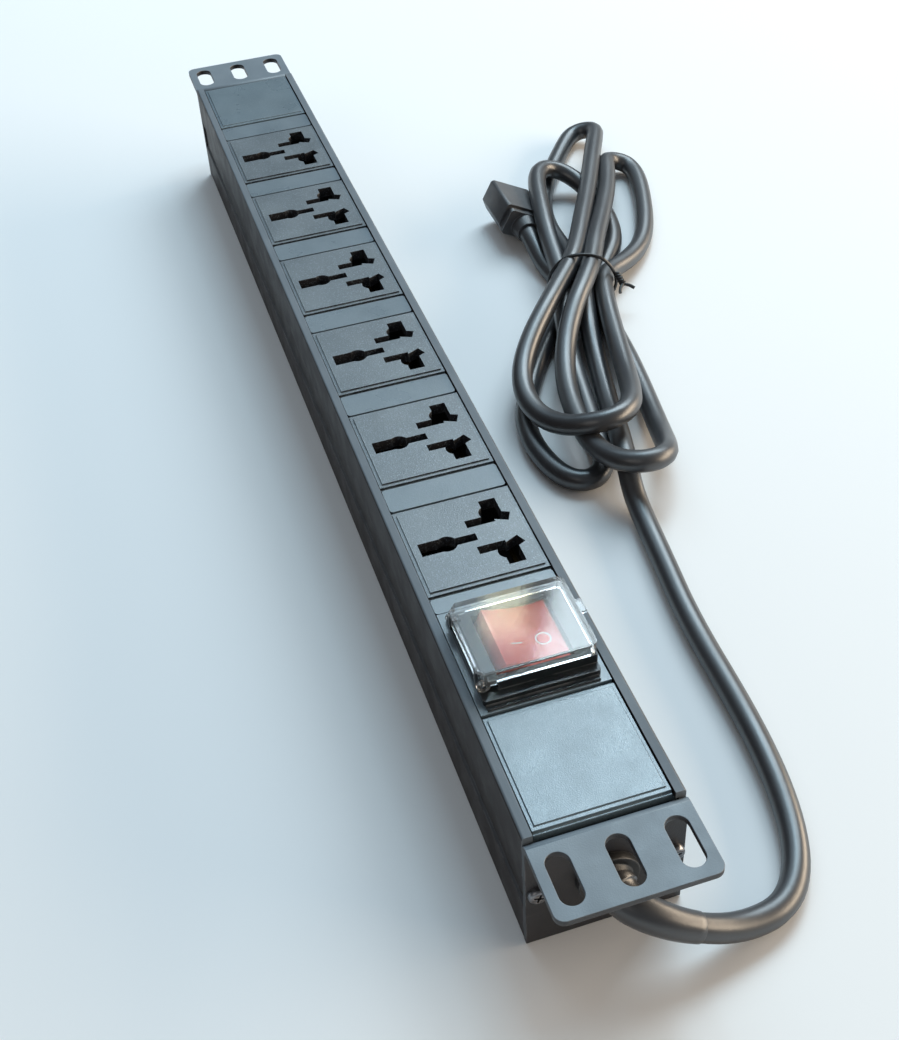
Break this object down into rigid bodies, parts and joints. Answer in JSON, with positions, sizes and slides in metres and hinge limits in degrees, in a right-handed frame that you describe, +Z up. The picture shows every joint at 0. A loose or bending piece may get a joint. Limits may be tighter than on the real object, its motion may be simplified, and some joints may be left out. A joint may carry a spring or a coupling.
{
  "type": "rack power strip",
  "caption": "Long black rack-mount power strip with a row of snap-in socket modules, a red rocker under a clear flip cover, slotted end ears and a coiled mains lead.",
  "frame": {"origin": "centre of the housing's base, under the middle of the strip", "axes": "+X along the strip towards the end with the mains lead, +Y across it towards the side where the lead lies, +Z up out of the socket faces"},
  "size_m": [0.4826, 0.1882, 0.0528],
  "materials": {
    "black_anodised": "black anodised extrusion",
    "black_steel": "black powder coat, satin",
    "zinc_steel": "bright zinc plate",
    "steel": "plain",
    "black_module": "fine grained black",
    "black_spacer": "semi-gloss black",
    "black_gloss": "gloss black",
    "red_rocker": "translucent red, gloss",
    "clear_cover": "clear polycarbonate, lightly scratched",
    "brass": "rolled strip",
    "inner_tray": "dark grey insulator",
    "live_insulation": "brown insulation",
    "neutral_insulation": "blue insulation",
    "earth_insulation": "green and yellow insulation",
    "gland_plastic": "black moulding",
    "cord_sheath": "gloss black flexible sheath",
    "tie_wire": "thin black tie",
    "plug_moulding": "dark grey moulding"
  },
  "bodies": {
    "chassis": {"blank_plate": "black_module", "cord_gland": "gland_plastic", "cord_hank": "cord_sheath", "cord_tie": "tie_wire", "earth_busbar": "brass", "earth_lug": "brass", "earth_screw": "zinc_steel", "earth_wire_in": "earth_insulation", "earth_wire_out": "earth_insulation", "end_bracket_far": "black_steel", "end_bracket_lead": "black_steel", "end_screws": "zinc_steel", "gland_nut": "gland_plastic", "housing": "black_anodised", "label_plate": "black_module", "live_busbar": "brass", "live_wire_in": "live_insulation", "live_wire_out": "live_insulation", "narrow_spacer": "black_spacer", "neutral_busbar": "brass", "neutral_wire_in": "neutral_insulation", "neutral_wire_out": "neutral_insulation", "plug_body": "plug_moulding", "plug_pins": "brass", "power_cord": "cord_sheath", "sheath_end": "cord_sheath", "socket_face_1": "black_module", "socket_face_2": "black_module", "socket_face_3": "black_module", "socket_face_4": "black_module", "socket_face_5": "black_module", "socket_face_6": "black_module", "socket_tray_1": "inner_tray", "socket_tray_2": "inner_tray", "socket_tray_3": "inner_tray", "socket_tray_4": "inner_tray", "socket_tray_5": "inner_tray", "socket_tray_6": "inner_tray", "spacer_1": "black_spacer", "spacer_2": "black_spacer", "spacer_3": "black_spacer", "spacer_4": "black_spacer", "spacer_5": "black_spacer", "spacer_6": "black_spacer", "switch_bezel": "black_gloss", "switch_body": "black_gloss", "switch_plate": "black_spacer", "switch_terminals": "brass", "tray_screws": "zinc_steel"},
    "rocker": {"rocker": "red_rocker"},
    "cover": {"flip_cover": "clear_cover", "hinge_pin": "steel"}
  },
  "joints": [
    {"name": "rocker_tilt", "type": "hinge", "parent": "chassis", "child": "rocker", "pos_m": [0.15615, 0, 0.0418], "axis": [1, 0, 0], "range_deg": [0, 16]},
    {"name": "cover_hinge", "type": "hinge", "parent": "chassis", "child": "cover", "pos_m": [0.15615, -0.0159, 0.0479], "axis": [1, 0, 0], "range_deg": [0, 105]}
  ]
}
